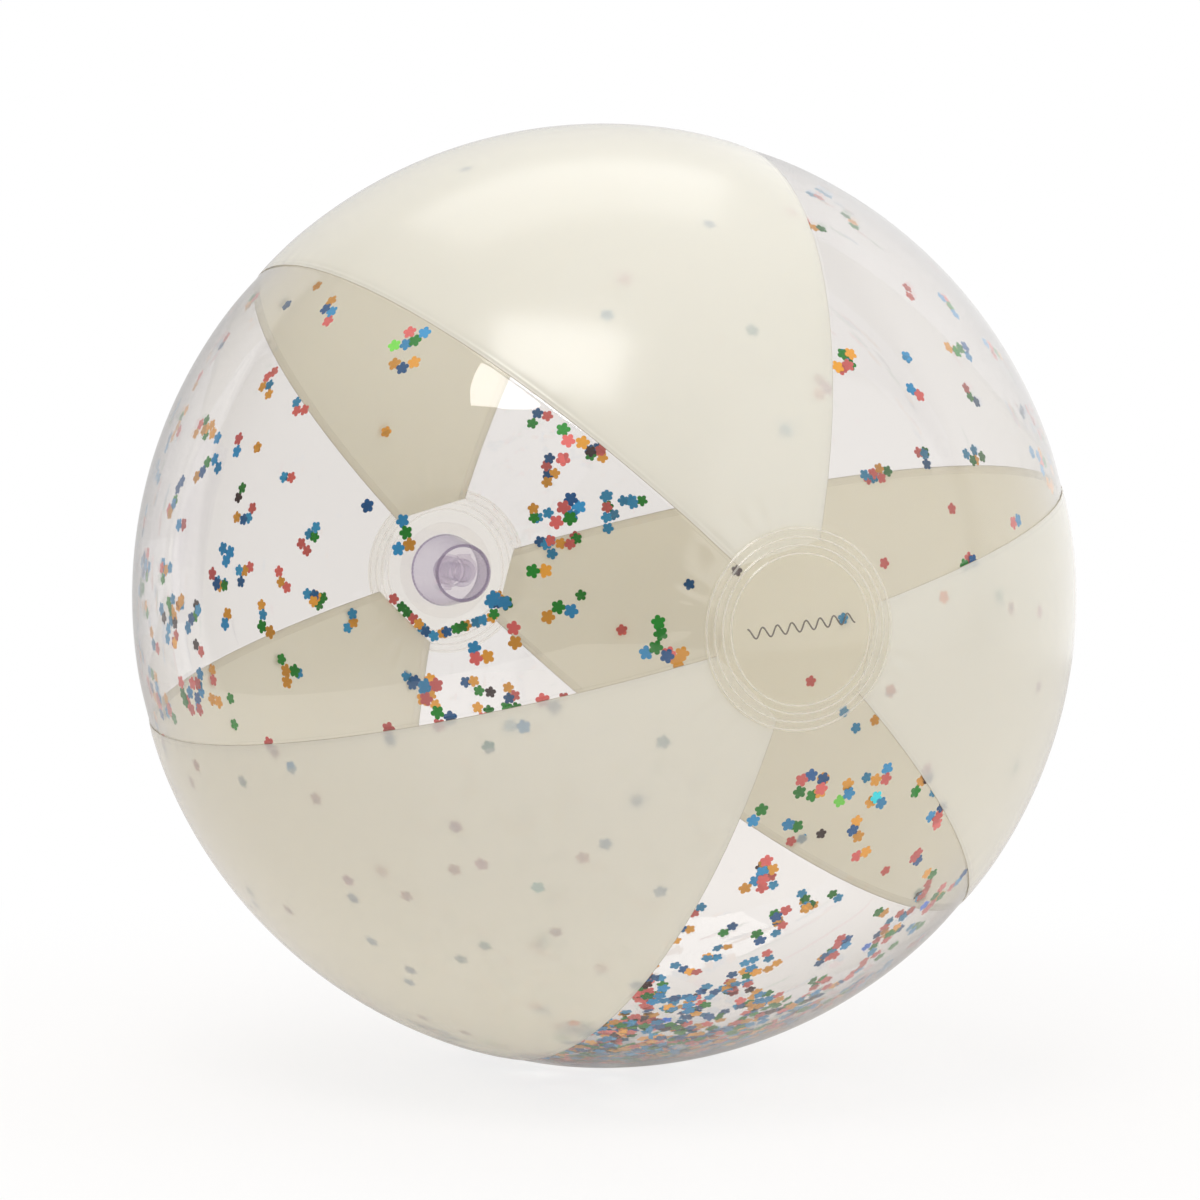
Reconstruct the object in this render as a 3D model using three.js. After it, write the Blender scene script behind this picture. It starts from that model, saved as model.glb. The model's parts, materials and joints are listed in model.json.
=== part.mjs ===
// Inflatable beach ball: six film gores, a weld disc over each pole, a push-in valve with its plug and
// check flap, and loose confetti sealed inside.
//
// Frame, in millimetres: the origin is the ball's centre and +Z is up. The polar axis is Y, with the plain
// disc at -Y and the valve at +Y. A place on the ball is its angle from the plain pole ("polar") and its
// angle about the polar axis from +Z towards -X ("turn").
//
// Neighbours that are welded or pressed together on the real ball keep CLEARANCE between them here.

import * as THREE from "three";

// Driving dimensions

const RADIUS = 175;             // outside of the cream gores, inflated
const FILM = 0.25;              // film of gores and discs
const CLEARANCE = 0.3;

const GORES = 6;
const FIRST_SEAM = 45.4;        // turn of the seam before the top cream gore, degrees
const LAP = 3;                  // width of the welded lap at each seam
const GORE_COLUMNS = 9;
const GORE_ROWS = 24;

const HEXAGON_APOTHEM = 26.5;   // the gores' cut ends leave a hexagon at each pole
const DISC_RADIUS = 34.4;
const DISC_FILM = 0.35;
const RIDGE_RADII = [25.3, 28.1, 30.9, 33.6];
const RIDGE_HALF_WIDTH = 0.8;
const RIDGE_HEIGHT = 0.5;
const DISC_SECTORS = 36;

const CUP_MOUTH_RADIUS = 15;    // outside of the pushed-in cup where it leaves the ball's skin
const CUP_END_RADIUS = 12;
const CUP_DEPTH = 22;
const CUP_WALL = 0.9;
const FLANGE_RADIUS = 20;
const FLANGE_THICKNESS = 0.8;

const STEM_RADIUS = 5.8;
const BORE_RADIUS = 3.8;
const STEM_FLOOR = 1.2;         // thickness of the cup's floor, which carries the stem
const MOUTH_BELOW_SKIN = 4;     // how far the stem's mouth stays below the ball's skin
const LIP_RADIUS = 6.8;
const LIP_THICKNESS = 1.5;
const LIP_BELOW_MOUTH = 1.1;
const STEM_SECTORS = 32;

const PLUG_RADIUS = 6;
const PLUG_THICKNESS = 1.6;
const SHANK_RADIUS = 3.5;
const SHANK_TIP_RADIUS = 2.6;
const SHANK_LENGTH = 4;
const STRAP_WIDTH = 3.5;
const STRAP_THICKNESS = 0.8;
const STRAP_LENGTH = 1.9;

const FLAP_RADIUS = 5.6;
const FLAP_THICKNESS = 0.6;
const FLAP_OFFSET = 1.6;        // the flap's centre lies above the bore's
const FLAP_TAB_HALF_WIDTH = 3;
const FLAP_TAB_REACH = 7.8;     // height of the tab's hinged edge above the bore's centre

const CONFETTI_RADIUS = 2.5;    // centre to petal tip
const PETALS = 5;
const PETAL_RADIUS = 0.98;
const PETAL_SEGMENTS = 5;
const CONFETTI_THICKNESS = 0.2;
const CONFETTI_DEPTH = 1.9;     // from the ball's skin in to a clinging piece
const CONFETTI_COLOURS = { blue: 0x2f7fb5, teal: 0x1d5f7a, green: 0x1f7d33, pink: 0xd9706c, gold: 0xd99a2e };
const CONFETTI_OF_EACH = 6;
const CONFETTI_BAND = [20, 58]; // from the nearer pole, degrees: clear of the discs and of the rolling heap

const HEAP_DEPTH = 1.8;         // from the ball's skin in to the heap
const HEAP_SPREAD = 28;         // half angle that the heap covers at the ball's lowest point, degrees
const HEAP_THICKNESS = 1.2;
const HEAP_EDGE = 0.4;
const HEAP_RINGS = 6;
const HEAP_SECTORS = 32;

// Sizes that follow from the driving dimensions

const SECTOR = 360 / GORES;
const FILM_UNDER_LAP = RADIUS - FILM - CLEARANCE;    // outside of the clear gores, whose edges lie under
const DISC_INSIDE = RADIUS + CLEARANCE;
const CUP_TOP = onSkin(RADIUS, CUP_MOUTH_RADIUS);
const CUP_BOTTOM = CUP_TOP - CUP_DEPTH;
const DISC_HOLE_RADIUS = CUP_MOUTH_RADIUS - CUP_WALL + CLEARANCE;
const FLOOR_RADIUS = CUP_END_RADIUS - CUP_WALL - CLEARANCE;
const FLOOR_TOP = CUP_BOTTOM + STEM_FLOOR;
const MOUTH = RADIUS - MOUTH_BELOW_SKIN;
const PLUG_BOTTOM = MOUTH + CLEARANCE;

const material = (color, roughness = 0.35, metalness = 0) =>
  new THREE.MeshStandardMaterial({ color, roughness, metalness, side: THREE.FrontSide });

const CREAM_FILM = material(0xf0eee2, 0.4);
const CLEAR_FILM = material(0xe4e1e2, 0.12);
const DISC_FILM_MATERIAL = material(0xe9e4d4, 0.2);
const VALVE_VINYL = material(0xd3c9dc, 0.25);
const HEAP_MATERIAL = material(0x6f9aa6, 0.35, 0.3);

// Places on the ball

/** Height along the polar axis of a sphere's surface at a distance from that axis. */
function onSkin(sphere, distance) {
  return Math.sqrt(sphere * sphere - distance * distance);
}

/** Point at a polar angle and a turn, in degrees, at a radius from the ball's centre. */
function onBall(polar, turn, radius) {
  const a = THREE.MathUtils.degToRad(polar);
  const b = THREE.MathUtils.degToRad(turn);
  const reach = radius * Math.sin(a);
  return new THREE.Vector3(-reach * Math.sin(b), -radius * Math.cos(a), reach * Math.cos(b));
}

// Gores

/** Polar angle of the cut end for a turn measured from the gore's middle: one side of the hexagon. */
function cutEnd(fromMiddle) {
  const within = THREE.MathUtils.euclideanModulo(fromMiddle + SECTOR / 2, SECTOR) - SECTOR / 2;
  const distance = HEXAGON_APOTHEM / Math.cos(THREE.MathUtils.degToRad(within));
  return THREE.MathUtils.radToDeg(Math.asin(distance / RADIUS));
}

/** Polar angle of a row of the gore's grid, which runs from cut end to cut end. */
function rowPolar(row, fromMiddle) {
  const end = cutEnd(fromMiddle);
  return end + (180 - 2 * end) * (row / GORE_ROWS);
}

/** Turn that the welded lap covers at a row. */
function lapTurn(row) {
  const atSeam = THREE.MathUtils.degToRad(rowPolar(row, SECTOR / 2));
  return THREE.MathUtils.radToDeg(LAP / (RADIUS * Math.sin(atSeam)));
}

/** Turn of a grid column from the gore's middle. Over a lap both gores have the same columns. */
function columnTurn(column, row, runsUnder) {
  const lap = lapTurn(row);
  const edge = SECTOR / 2 + (runsUnder ? lap : 0);
  if (column === 0) return -edge;
  if (column === GORE_COLUMNS) return edge;
  const inner = edge - lap;
  return inner * (2 * (column - 1) / (GORE_COLUMNS - 2) - 1);
}

/** A gore is a thin box bent on to the ball. Clear gores run on under the cream gores' edges. */
function goreGeometry(middle, runsUnder) {
  const outside = runsUnder ? FILM_UNDER_LAP : RADIUS;
  const geometry = new THREE.BoxGeometry(1, 1, 1, GORE_COLUMNS, GORE_ROWS, 1);
  const places = geometry.attributes.position;
  for (let i = 0; i < places.count; i++) {
    const column = Math.round((places.getX(i) + 0.5) * GORE_COLUMNS);
    const row = Math.round((0.5 - places.getY(i)) * GORE_ROWS);
    const radius = outside + (places.getZ(i) - 0.5) * FILM;
    const turn = columnTurn(column, row, runsUnder);
    const place = onBall(rowPolar(row, turn), middle + turn, radius);
    places.setXYZ(i, place.x, place.y, place.z);
  }
  return geometry;
}

// Discs

/** Points of the ridged outside of a disc, from a distance outwards to its rim. */
function discOutside(from) {
  const outside = DISC_INSIDE + DISC_FILM;
  const points = [new THREE.Vector2(from, onSkin(outside, from))];
  const plain = (from + RIDGE_RADII[0]) / 2;
  points.push(new THREE.Vector2(plain, onSkin(outside, plain)));
  for (const ridge of RIDGE_RADII) {
    for (const [across, height] of [[-RIDGE_HALF_WIDTH, 0], [0, RIDGE_HEIGHT], [RIDGE_HALF_WIDTH, 0]]) {
      points.push(new THREE.Vector2(ridge + across, onSkin(outside + height, ridge + across)));
    }
  }
  return points;
}

/** Points of the smooth inside of a disc, from its rim back to a distance. */
function discInside(to) {
  const steps = 5;
  const points = [];
  for (let i = 0; i <= steps; i++) {
    const distance = THREE.MathUtils.lerp(DISC_RADIUS, to, i / steps);
    points.push(new THREE.Vector2(distance, onSkin(DISC_INSIDE, distance)));
  }
  return points;
}

/** Turns a profile about the polar axis. The profile runs outwards on top and back underneath. */
function turned(profile, sectors) {
  return new THREE.LatheGeometry(profile.reverse(), sectors);
}

function frontDiscGeometry() {
  const disc = turned([...discOutside(0), ...discInside(0)], DISC_SECTORS);
  return disc.rotateZ(Math.PI);
}

function valveDiscGeometry() {
  const outside = discOutside(DISC_HOLE_RADIUS);
  return turned([...outside, ...discInside(DISC_HOLE_RADIUS), outside[0].clone()], DISC_SECTORS);
}

// Valve

/** A ring whose section is the quadrilateral of top inner, top outer, bottom outer and bottom inner. */
function ringGeometry(corners, sectors) {
  const profile = corners.map(([distance, height]) => new THREE.Vector2(distance, height));
  return turned([...profile, profile[0].clone()], sectors);
}

function flangeGeometry() {
  const bore = CUP_MOUTH_RADIUS + CLEARANCE;
  return ringGeometry([
    [bore, onSkin(RADIUS, bore)],
    [FLANGE_RADIUS, onSkin(RADIUS, FLANGE_RADIUS)],
    [FLANGE_RADIUS, onSkin(RADIUS, FLANGE_RADIUS) - FLANGE_THICKNESS],
    [bore, onSkin(RADIUS, bore) - FLANGE_THICKNESS],
  ], DISC_SECTORS);
}

function cupGeometry() {
  return ringGeometry([
    [CUP_MOUTH_RADIUS - CUP_WALL, CUP_TOP],
    [CUP_MOUTH_RADIUS, CUP_TOP],
    [CUP_END_RADIUS, CUP_BOTTOM],
    [CUP_END_RADIUS - CUP_WALL, CUP_BOTTOM],
  ], DISC_SECTORS);
}

/** The cup's floor with the blowing tube standing on it, and the lip that fingers pull it out by. */
function stemGeometry() {
  const lipTop = MOUTH - LIP_BELOW_MOUTH;
  return ringGeometry([
    [BORE_RADIUS, MOUTH],
    [STEM_RADIUS, MOUTH],
    [STEM_RADIUS, lipTop],
    [LIP_RADIUS, lipTop],
    [LIP_RADIUS, lipTop - LIP_THICKNESS],
    [STEM_RADIUS, lipTop - LIP_THICKNESS],
    [STEM_RADIUS, FLOOR_TOP],
    [FLOOR_RADIUS, FLOOR_TOP],
    [FLOOR_RADIUS, CUP_BOTTOM],
    [BORE_RADIUS, CUP_BOTTOM],
  ], STEM_SECTORS);
}

function plugGeometry() {
  const profile = [
    [0, PLUG_BOTTOM + PLUG_THICKNESS],
    [PLUG_RADIUS, PLUG_BOTTOM + PLUG_THICKNESS],
    [PLUG_RADIUS, PLUG_BOTTOM],
    [SHANK_RADIUS, PLUG_BOTTOM],
    [SHANK_TIP_RADIUS, PLUG_BOTTOM - SHANK_LENGTH],
    [0, PLUG_BOTTOM - SHANK_LENGTH],
  ];
  return turned(profile.map(([distance, height]) => new THREE.Vector2(distance, height)), STEM_SECTORS);
}

/** The strap that keeps the plug, on the lower side of the stem, with rounded corners at its free end. */
function strapMesh() {
  const half = STRAP_WIDTH / 2;
  const corner = STRAP_THICKNESS;
  const outline = new THREE.Shape();
  outline.moveTo(half, 0);
  outline.lineTo(half, STRAP_LENGTH - corner);
  outline.absarc(half - corner, STRAP_LENGTH - corner, corner, 0, Math.PI / 2);
  outline.absarc(corner - half, STRAP_LENGTH - corner, corner, Math.PI / 2, Math.PI);
  outline.lineTo(-half, 0);
  const geometry = new THREE.ExtrudeGeometry(outline, {
    depth: STRAP_THICKNESS, bevelEnabled: false, curveSegments: 4,
  });
  const strap = new THREE.Mesh(geometry, VALVE_VINYL);
  strap.rotation.x = -Math.PI / 2;
  strap.position.set(0, PLUG_BOTTOM + CLEARANCE / 3, -(PLUG_RADIUS + CLEARANCE));
  return strap;
}

/** The flap that the ball's own pressure shuts over the bore, hung from its upper edge. */
function flapMesh() {
  const tabFoot = Math.sqrt(FLAP_RADIUS * FLAP_RADIUS - FLAP_TAB_HALF_WIDTH * FLAP_TAB_HALF_WIDTH);
  const tabAngle = Math.atan2(tabFoot, FLAP_TAB_HALF_WIDTH);
  const outline = new THREE.Shape();
  outline.absarc(0, 0, FLAP_RADIUS, Math.PI - tabAngle, tabAngle + 2 * Math.PI);
  outline.lineTo(FLAP_TAB_HALF_WIDTH, FLAP_TAB_REACH - FLAP_OFFSET);
  outline.lineTo(-FLAP_TAB_HALF_WIDTH, FLAP_TAB_REACH - FLAP_OFFSET);
  const geometry = new THREE.ExtrudeGeometry(outline, {
    depth: FLAP_THICKNESS, bevelEnabled: false, curveSegments: 28,
  });
  const flap = new THREE.Mesh(geometry, VALVE_VINYL);
  flap.rotation.x = Math.PI / 2;
  flap.rotation.y = Math.PI;
  flap.position.set(0, CUP_BOTTOM - CLEARANCE - FLAP_THICKNESS, FLAP_OFFSET);
  return flap;
}

// Confetti

/** Outline of a flower of round petals that run into each other. */
function flowerOutline() {
  const reach = CONFETTI_RADIUS - PETAL_RADIUS;
  const spacing = Math.PI * 2 / PETALS;
  const notch = reach * Math.cos(spacing / 2)
    + Math.sqrt(PETAL_RADIUS ** 2 - (reach * Math.sin(spacing / 2)) ** 2);
  const sweep = Math.atan2(notch * Math.sin(spacing / 2), notch * Math.cos(spacing / 2) - reach);
  const outline = new THREE.Shape();
  for (let petal = 0; petal < PETALS; petal++) {
    const facing = petal * spacing;
    outline.absarc(
      reach * Math.cos(facing), reach * Math.sin(facing), PETAL_RADIUS, facing - sweep, facing + sweep,
    );
  }
  return outline;
}

/** Polar angle of a clinging piece, by its share of the whole: the first half spreads round the plain pole. */
function confettiPolar(share) {
  const [near, far] = CONFETTI_BAND.map((angle) => Math.cos(THREE.MathUtils.degToRad(angle)));
  const height = share < 0.5
    ? THREE.MathUtils.lerp(near, far, 2 * share)
    : THREE.MathUtils.lerp(-far, -near, 2 * share - 1);
  return THREE.MathUtils.radToDeg(Math.acos(height));
}

/** Confetti that clings to the film, turned round the ball by the golden angle from piece to piece. */
function confettiMeshes() {
  const geometry = new THREE.ExtrudeGeometry(flowerOutline(), {
    depth: CONFETTI_THICKNESS, bevelEnabled: false, curveSegments: PETAL_SEGMENTS,
  });
  const colours = Object.entries(CONFETTI_COLOURS);
  const total = colours.length * CONFETTI_OF_EACH;
  const goldenAngle = 180 * (3 - Math.sqrt(5));
  const outwards = new THREE.Vector3(0, 0, 1);
  const meshes = [];
  for (let i = 0; i < total; i++) {
    const [colour, hex] = colours[i % colours.length];
    const place = onBall(confettiPolar((i + 0.5) / total), i * goldenAngle, RADIUS - CONFETTI_DEPTH);
    const piece = new THREE.Mesh(geometry, material(hex, 0.3, 0.6));
    piece.name = `confetti_${colour}_${Math.floor(i / colours.length) + 1}`;
    piece.position.copy(place);
    piece.quaternion.setFromUnitVectors(outwards, place.clone().normalize());
    piece.rotateZ(i);
    meshes.push(piece);
  }
  return meshes;
}

/** The loose confetti lies at the lowest point, as a lens that follows the ball's inside. */
function heapMesh() {
  const outside = [];
  const inside = [];
  for (let ring = 0; ring <= HEAP_RINGS; ring++) {
    const share = ring / HEAP_RINGS;
    const angle = THREE.MathUtils.degToRad(HEAP_SPREAD) * share;
    const thickness = THREE.MathUtils.lerp(HEAP_THICKNESS, HEAP_EDGE, share * share);
    const outer = RADIUS - HEAP_DEPTH;
    const inner = outer - thickness;
    outside.push(new THREE.Vector2(outer * Math.sin(angle), outer * Math.cos(angle)));
    inside.unshift(new THREE.Vector2(inner * Math.sin(angle), inner * Math.cos(angle)));
  }
  inside[inside.length - 1].x = 0;
  outside[0].x = 0;
  const heap = new THREE.Mesh(turned([...outside, ...inside], HEAP_SECTORS), HEAP_MATERIAL);
  heap.rotation.x = -Math.PI / 2;
  return heap;
}

// Assembly

const group = new THREE.Group();

function add(name, mesh) {
  mesh.name = name;
  group.add(mesh);
}

const GORE_NAMES = [
  "cream_gore_top",
  "clear_gore_upper_right",
  "cream_gore_lower_right",
  "clear_gore_bottom",
  "cream_gore_lower_left",
  "clear_gore_upper_left",
];

GORE_NAMES.forEach((name, index) => {
  const clear = name.startsWith("clear");
  const middle = FIRST_SEAM - SECTOR * (index + 0.5);
  add(name, new THREE.Mesh(goreGeometry(middle, clear), clear ? CLEAR_FILM : CREAM_FILM));
});

add("front_disc", new THREE.Mesh(frontDiscGeometry(), DISC_FILM_MATERIAL));
add("valve_disc", new THREE.Mesh(valveDiscGeometry(), DISC_FILM_MATERIAL));
add("valve_flange", new THREE.Mesh(flangeGeometry(), VALVE_VINYL));
add("valve_cup", new THREE.Mesh(cupGeometry(), VALVE_VINYL));
add("valve_stem", new THREE.Mesh(stemGeometry(), VALVE_VINYL));
add("valve_plug", new THREE.Mesh(plugGeometry(), VALVE_VINYL));
add("plug_strap", strapMesh());
add("check_flap", flapMesh());
confettiMeshes().forEach((piece) => add(piece.name, piece));
add("confetti_heap", heapMesh());

export default group;
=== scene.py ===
"""Looks of the inflatable beach ball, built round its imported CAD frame.

Metres, +Z up, the origin at the ball's centre. The polar axis is Y, with the plain disc at -Y and the
valve at +Y.
A place on the ball is its angle from the plain pole ("polar") and its angle about the polar axis from +Z
towards -X ("turn"), both in radians unless a name says degrees.
"""

import json
import math

import bmesh
import bpy
import numpy as np
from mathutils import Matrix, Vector


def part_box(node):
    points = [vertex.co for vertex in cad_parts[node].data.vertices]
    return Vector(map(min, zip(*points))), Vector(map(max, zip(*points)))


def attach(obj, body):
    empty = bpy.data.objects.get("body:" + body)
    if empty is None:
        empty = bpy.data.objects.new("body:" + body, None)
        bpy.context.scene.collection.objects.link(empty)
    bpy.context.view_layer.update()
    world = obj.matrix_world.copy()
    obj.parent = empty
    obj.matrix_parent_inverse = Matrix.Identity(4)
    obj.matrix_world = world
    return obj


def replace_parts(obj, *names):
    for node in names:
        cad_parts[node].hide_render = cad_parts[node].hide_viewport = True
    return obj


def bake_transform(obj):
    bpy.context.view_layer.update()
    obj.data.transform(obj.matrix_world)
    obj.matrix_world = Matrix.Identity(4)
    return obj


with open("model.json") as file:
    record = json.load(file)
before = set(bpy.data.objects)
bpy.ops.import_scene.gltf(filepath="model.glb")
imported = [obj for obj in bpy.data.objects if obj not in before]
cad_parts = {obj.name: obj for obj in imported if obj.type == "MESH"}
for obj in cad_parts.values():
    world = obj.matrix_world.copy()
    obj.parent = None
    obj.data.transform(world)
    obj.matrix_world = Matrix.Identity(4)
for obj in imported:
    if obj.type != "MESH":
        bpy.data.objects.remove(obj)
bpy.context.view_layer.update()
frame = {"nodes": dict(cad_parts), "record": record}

MM = 0.001
TAU = 2 * math.pi

# Sizes that the frame gives

mounts = {mount["name"]: mount for mount in frame["record"]["mounts"]}
RADIUS = -mounts["floor_contact"]["pos_m"][2]


def half_width(node):
    """Half the X size of a CAD node that is round about the polar axis."""
    low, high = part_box(node)
    return (high.x - low.x) / 2


DISC_RADIUS = half_width("front_disc")
DISC_SKIN = -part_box("front_disc")[0].y
CUP_MOUTH_RADIUS = half_width("valve_cup")
CUP_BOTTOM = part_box("valve_cup")[0].y
CUP_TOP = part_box("valve_cup")[1].y
FLANGE_RADIUS = half_width("valve_flange")
FLOOR_RADIUS = half_width("valve_stem")
STEM_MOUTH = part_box("valve_stem")[1].y
PLUG_RADIUS = half_width("valve_plug")
PLUG_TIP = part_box("valve_plug")[0].y
PLUG_FACE = mounts["plug_face"]["pos_m"][1]

# Sizes that the CAD source states and the frame doesn't show

FILM = 0.25 * MM
UNDER_LAP = 0.55 * MM          # the clear gores' skin lies this far inside the cream gores'
LAP = 3 * MM
GORES = 6
SECTOR = TAU / GORES
FIRST_SEAM = math.radians(45.4)
HEXAGON_APOTHEM = 26.5 * MM
DISC_FILM = 0.35 * MM
DISC_HOLE_RADIUS = 14.4 * MM
CUP_END_RADIUS = 12 * MM
CUP_WALL = 0.9 * MM
CUP_TEETH = 54
CUP_MOUTH_BEAD = 0.5 * MM
CUP_END_BEAD = 0.8 * MM
FLANGE_THICKNESS = 0.8 * MM
STEM_RADIUS = 5.8 * MM
BORE_RADIUS = 3.8 * MM
STEM_FLOOR = 1.2 * MM
LIP_RADIUS = 6.8 * MM
LIP_BELOW_MOUTH = 1.1 * MM
LIP_THICKNESS = 1.5 * MM
PLUG_THICKNESS = 1.6 * MM
SHANK_RADIUS = 3.5 * MM
SHANK_TIP_RADIUS = 2.6 * MM
CONFETTI_RADIUS = 2.5 * MM

# Surface detail that only the looks have

GORE_ROWS = 240
GORE_MIDDLE_COLUMNS = 36
# Distances from a gore's edge, in millimetres, at which its grid has columns.
CREAM_EDGE_COLUMNS = [0, 0.3, 0.6, 0.9, 1.2, 1.5, 1.8, 2.3, 3, 4, 6, 9, 13]
CLEAR_EDGE_COLUMNS = [0, 1, 2, 3, 3.3, 3.5, 3.7, 3.9, 4.1, 4.3, 4.5, 4.8, 5.5, 7, 10, 14]
RIM_PUCKER = 0.22 * MM
SEAM_RIPPLE = 0.07 * MM
SEAM_VALLEY = 0.35 * MM
EDGE_PRESSED = 0.27 * MM
WELD_LINE_HEIGHT = 0.10 * MM
# The fine dark tube along each seam, whose colour is painted shade for the shadow at the cream gores' cut
# edges.
SEAM_SHADE_LINE_RADIUS = 0.12 * MM
SEAM_SHADE_LINE_DEPTH = 0.38 * MM
SEAM_SHADE_LINE_BEYOND = 0.05 * MM
INNER_RIDGE_RADIUS = 25.3 * MM
RIDGES = 4
RIDGE_SPACING = 2.75 * MM
RIDGE_RADII = [INNER_RIDGE_RADIUS + number * RIDGE_SPACING for number in range(RIDGES)]
RIDGE_HEIGHT = 0.45 * MM
RIDGE_WIDTH = 0.42 * MM
SHARP_ANGLE = math.radians(40)
LATHE_SECTORS = 180
MOULDED_SECTORS = 96
WAVE_WIDTH = 39 * MM
WAVE_HEIGHT = 1.7 * MM
WAVES = 7.5
WAVE_TILT = math.radians(7)
WAVE_LINE_RADIUS = 0.28 * MM

# View of the photograph

AZIMUTH = math.radians(-22.1)
ELEVATION = math.radians(3.9)
CAMERA_DISTANCE = 8.2 * RADIUS
LENS = 115.5
SHIFT = -0.0029

# Light of the studio, as colours of radiance

WHITE = (1.0, 1.0, 1.0)
ROOM = (0.25, 0.236, 0.232)
CEILING = (0.95, 0.95, 0.94)
WINDOW = (1.25, 1.25, 1.25)
BACKDROP = (0.90, 0.885, 0.875)
SIDE = (1.34, 1.33, 1.32)
BELOW = (0.58, 0.54, 0.52)
SEEN_THROUGH = (0.88, 0.855, 0.835)
# Share of the floor that is a white glow, painted light that it sends on to the ball.
FLOOR_GLOW = 0.38
# Each bright or pale part of the studio: where it lies, the cosines of the angles from there at which it
# starts and is full, and its colour. Later ones lie over earlier ones.
STUDIO_PATCHES = [
    ((0, 0, 1), 0.35, 0.9, CEILING),
    ((0.62, -0.76, 0.20), 0.76, 0.82, WINDOW),
    ((0.29, 0.894, -0.342), 0.39, 0.45, BACKDROP),
    ((0.89, 0.42, 0.17), 0.74, 0.88, SIDE),
    ((0, 0, -1), 0.05, 0.6, BELOW),
]

# Reflectance of the films seen square on

CREAM_REFLECTANCE = 0.045
CLEAR_REFLECTANCE = 0.042


# Camera, lights and floor


def direction(azimuth, elevation):
    """Unit vector from the ball towards a camera at that azimuth and elevation."""
    level = math.cos(elevation)
    return Vector((math.sin(azimuth) * level, -math.cos(azimuth) * level, math.sin(elevation)))


def link(data, name):
    thing = bpy.data.objects.new(name, data)
    bpy.context.scene.collection.objects.link(thing)
    return thing


def make_camera():
    camera = link(bpy.data.cameras.new("camera"), "camera")
    back = direction(AZIMUTH, ELEVATION)
    camera.location = back * CAMERA_DISTANCE
    camera.rotation_mode = "QUATERNION"
    camera.rotation_quaternion = (-back).to_track_quat("-Z", "Y")
    camera.data.sensor_width = 36
    camera.data.lens = LENS
    camera.data.shift_x = SHIFT
    camera.data.shift_y = SHIFT
    camera.data.clip_start = 0.05
    camera.data.clip_end = 50
    bpy.context.scene.camera = camera


def softbox(name, place, width, height, radiance, colour=WHITE):
    """A rectangular area light at a place, facing the ball's centre, of an even radiance."""
    light = bpy.data.lights.new(name, "AREA")
    light.shape = "RECTANGLE"
    light.size = width
    light.size_y = height
    light.energy = radiance * width * height * math.pi
    light.color = colour
    box = link(light, name)
    box.location = place
    box.rotation_mode = "QUATERNION"
    box.rotation_quaternion = (-Vector(place)).to_track_quat("-Z", "Y")
    box.visible_camera = False


def make_lights():
    softbox("key_softbox", (-0.433, -0.506, 0.998), 0.60, 0.42, 6.0, (1.0, 0.995, 0.98))
    softbox("overhead_softbox", (0.2, 0.9, 2.0), 1.6, 1.0, 1.45)


def world_patch(nodes, links, view, towards, cos_outer, cos_inner):
    """1 for view directions near a direction, fading to 0 between two cosines of the angle from it."""
    toward = nodes.new("ShaderNodeVectorMath")
    toward.operation = "DOT_PRODUCT"
    toward.inputs[1].default_value = Vector(towards).normalized()
    links.new(view, toward.inputs[0])
    share = nodes.new("ShaderNodeMapRange")
    share.interpolation_type = "SMOOTHSTEP"
    share.inputs["From Min"].default_value = cos_outer
    share.inputs["From Max"].default_value = cos_inner
    links.new(toward.outputs["Value"], share.inputs["Value"])
    return share.outputs["Result"]


def world_colour(nodes, links, share, first, second):
    """Mixes two colours, each a colour or an output, by an output. Returns the mix's output."""
    mix = nodes.new("ShaderNodeMix")
    mix.data_type = "RGBA"
    links.new(share, mix.inputs["Factor"])
    for value, socket in ((first, mix.inputs["A"]), (second, mix.inputs["B"])):
        if hasattr(value, "is_output"):
            links.new(value, socket)
        else:
            socket.default_value = (*value, 1)
    return mix.outputs["Result"]


def make_world():
    """A dim room with a bright ceiling, a pale backdrop, a bright side and a window.

    Where a camera looks at it directly it is plain white, and through the ball slightly darker.
    """
    world = bpy.data.worlds.new("studio")
    world.use_nodes = True
    nodes, links = world.node_tree.nodes, world.node_tree.links
    nodes.clear()
    view = nodes.new("ShaderNodeTexCoord").outputs["Generated"]
    room = ROOM
    for towards, cos_outer, cos_inner, colour in STUDIO_PATCHES:
        patch = world_patch(nodes, links, view, towards, cos_outer, cos_inner)
        room = world_colour(nodes, links, patch, room, colour)
    ray = nodes.new("ShaderNodeLightPath")
    through = nodes.new("ShaderNodeMapRange")
    through.inputs["From Max"].default_value = 1
    links.new(ray.outputs["Transparent Depth"], through.inputs["Value"])
    seen = world_colour(nodes, links, through.outputs["Result"], WHITE, SEEN_THROUGH)
    room = world_colour(nodes, links, ray.outputs["Is Camera Ray"], room, seen)
    light = nodes.new("ShaderNodeBackground")
    links.new(room, light.inputs["Color"])
    output = nodes.new("ShaderNodeOutputWorld")
    links.new(light.outputs[0], output.inputs["Surface"])
    bpy.context.scene.world = world


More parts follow.
